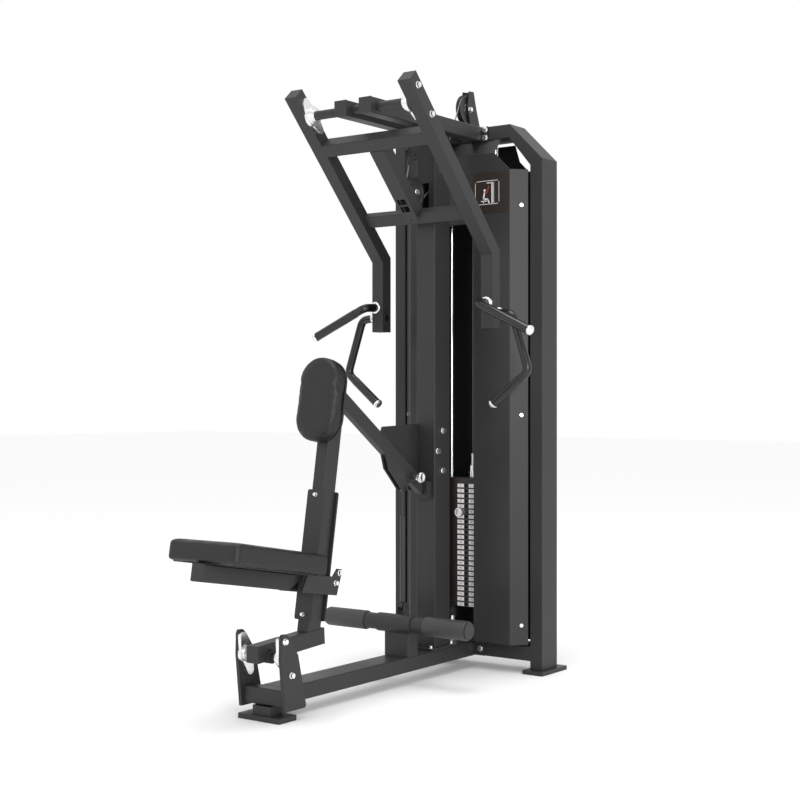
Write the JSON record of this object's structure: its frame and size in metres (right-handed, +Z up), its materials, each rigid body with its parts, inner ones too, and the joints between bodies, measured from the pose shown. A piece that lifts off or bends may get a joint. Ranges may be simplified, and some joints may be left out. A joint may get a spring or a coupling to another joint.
{
  "type": "seated row machine",
  "caption": "Pin-selected seated row machine: overhead pull yoke with handles, tilting seat frame with chest pad, and a shrouded plate tower.",
  "frame": {"origin": "middle of the footprint on the floor", "axes": "+X is the sitter's right, +Y runs from the seat to the weight tower, +Z is up"},
  "size_m": [0.9792, 1.6183, 2.192],
  "materials": {
    "charcoal_powder_coat": "fine texture satin powder coat",
    "chromed_steel": "bright chrome plate",
    "black_grip": "gloss black dipped vinyl",
    "black_rubber": "moulded rubber",
    "upholstery": "fine grain vinyl leathercloth",
    "plywood_board": "black sprayed board",
    "stack_steel": "black stoved steel",
    "black_sheet": "matt black sheet",
    "nylon_wheel": "moulded nylon",
    "coated_cable": "nylon coated wire rope",
    "placard_film": "printed film",
    "grey_knob": "satin plastic and chrome"
  },
  "bodies": {
    "frame": {"base_beam": "charcoal_powder_coat", "front_cross_tube": "charcoal_powder_coat", "feet": "charcoal_powder_coat", "bearing_plates": "charcoal_powder_coat", "base_bearings": "chromed_steel", "rear_cross_tube": "charcoal_powder_coat", "uprights": "charcoal_powder_coat", "top_beam": "charcoal_powder_coat", "overhead_beams": "charcoal_powder_coat", "main_column": "charcoal_powder_coat", "pivot_shaft": "charcoal_powder_coat", "foot_post": "charcoal_powder_coat", "foot_bar": "charcoal_powder_coat", "foot_sleeves": "black_rubber", "quadrant_plate": "charcoal_powder_coat", "stop_block": "charcoal_powder_coat", "stop_bumper": "black_rubber", "cable_anchor": "charcoal_powder_coat", "pulley_bracket": "charcoal_powder_coat", "pulley_axles": "chromed_steel", "front_shroud": "charcoal_powder_coat", "rear_cover": "black_sheet", "placard": "placard_film", "guide_rods": "chromed_steel", "bumper_seats": "chromed_steel", "stack_bumpers": "black_rubber", "lower_plates": "stack_steel", "frame_bolts": "chromed_steel", "arm_cable": "coated_cable"},
    "top_wheel": {"top_pulley": "nylon_wheel"},
    "guide_wheel": {"guide_pulley": "nylon_wheel"},
    "stack_lifted": {"upper_plates": "stack_steel", "head_plate": "stack_steel", "selector_stem": "chromed_steel", "stack_cable": "coated_cable"},
    "selector": {"selector_pin": "grey_knob"},
    "yoke": {"yoke_arms": "charcoal_powder_coat", "yoke_cross_tubes": "charcoal_powder_coat", "yoke_channel": "charcoal_powder_coat", "yoke_bearings": "chromed_steel", "row_handles": "black_grip", "handle_fittings": "chromed_steel", "yoke_bolts": "chromed_steel"},
    "arm_wheel": {"arm_pulley": "nylon_wheel"},
    "seat_frame": {"rocker_tube": "charcoal_powder_coat", "rocker_shaft": "charcoal_powder_coat", "seat_post": "charcoal_powder_coat", "guide_plates": "charcoal_powder_coat", "brace_arm": "charcoal_powder_coat", "chest_board": "plywood_board", "chest_pad": "upholstery", "post_screws": "chromed_steel"},
    "seat": {"seat_carriage": "charcoal_powder_coat", "carriage_bolts": "chromed_steel", "seat_board": "plywood_board", "seat_pad": "upholstery"},
    "seat_lock": {"seat_pin": "chromed_steel"},
    "gas_barrel": {"gas_cylinder": "black_sheet"},
    "gas_piston": {"gas_rod": "black_sheet"},
    "tilt_lock": {"tilt_pin": "chromed_steel"}
  },
  "joints": [
    {"name": "yoke_swing", "type": "hinge", "parent": "frame", "child": "yoke", "pos_m": [0, -0.008, 2.016], "axis": [-1, 0, 0], "range_deg": [0, 45], "deforming": ["arm_cable"]},
    {"name": "stack_lift", "type": "slide", "parent": "frame", "child": "stack_lifted", "axis": [0, 0, 1], "range_m": [0, 0.56], "deforming": ["stack_cable"]},
    {"name": "arm_wheel_spin", "type": "hinge", "parent": "yoke", "child": "arm_wheel", "pos_m": [0, 0.304, 1.765], "axis": [1, 0, 0], "range_deg": [0, 700]},
    {"name": "guide_wheel_spin", "type": "hinge", "parent": "frame", "child": "guide_wheel", "pos_m": [0, 0.433, 1.855], "axis": [1, 0, 0], "range_deg": [0, 900]},
    {"name": "top_wheel_spin", "type": "hinge", "parent": "frame", "child": "top_wheel", "pos_m": [0, 0.654, 2.12], "axis": [1, 0, 0], "range_deg": [0, 700]},
    {"name": "selector_pull", "type": "slide", "parent": "stack_lifted", "child": "selector", "axis": [0, -1, 0], "range_m": [0, 0.06]},
    {"name": "frame_tilt", "type": "hinge", "parent": "frame", "child": "seat_frame", "pos_m": [0, -0.505, 0.203], "axis": [1, 0, 0], "range_deg": [0, 9.6]},
    {"name": "gas_spring_tilt", "type": "hinge", "parent": "frame", "child": "gas_barrel", "pos_m": [0, 0.241, 0.275], "axis": [1, 0, 0], "range_deg": [0, 10]},
    {"name": "gas_spring_stroke", "type": "slide", "parent": "gas_barrel", "child": "gas_piston", "axis": [0, 0, 1], "range_m": [0, 0.13]},
    {"name": "tilt_pin_pull", "type": "slide", "parent": "seat_frame", "child": "tilt_lock", "axis": [1, 0, 0], "range_m": [0, 0.012], "stiffness_N_per_m": 900, "springref_m": -0.005},
    {"name": "seat_height", "type": "slide", "parent": "seat_frame", "child": "seat", "axis": [0, 0.1685, 0.9857], "range_m": [0, 0.14]},
    {"name": "seat_pin_pull", "type": "slide", "parent": "seat", "child": "seat_lock", "axis": [0, 0.9857, -0.1685], "range_m": [0, 0.012], "stiffness_N_per_m": 900, "springref_m": -0.005}
  ],
  "couplings": [
    {"joint": "stack_lift", "follows": "yoke_swing", "m_per_rad": 0.7},
    {"joint": "arm_wheel_spin", "follows": "yoke_swing", "ratio": 11},
    {"joint": "guide_wheel_spin", "follows": "yoke_swing", "ratio": 17.766},
    {"joint": "top_wheel_spin", "follows": "yoke_swing", "ratio": 14.583},
    {"joint": "gas_spring_tilt", "follows": "frame_tilt", "ratio": 1.03},
    {"joint": "gas_spring_stroke", "follows": "frame_tilt", "m_per_rad": 0.747}
  ]
}
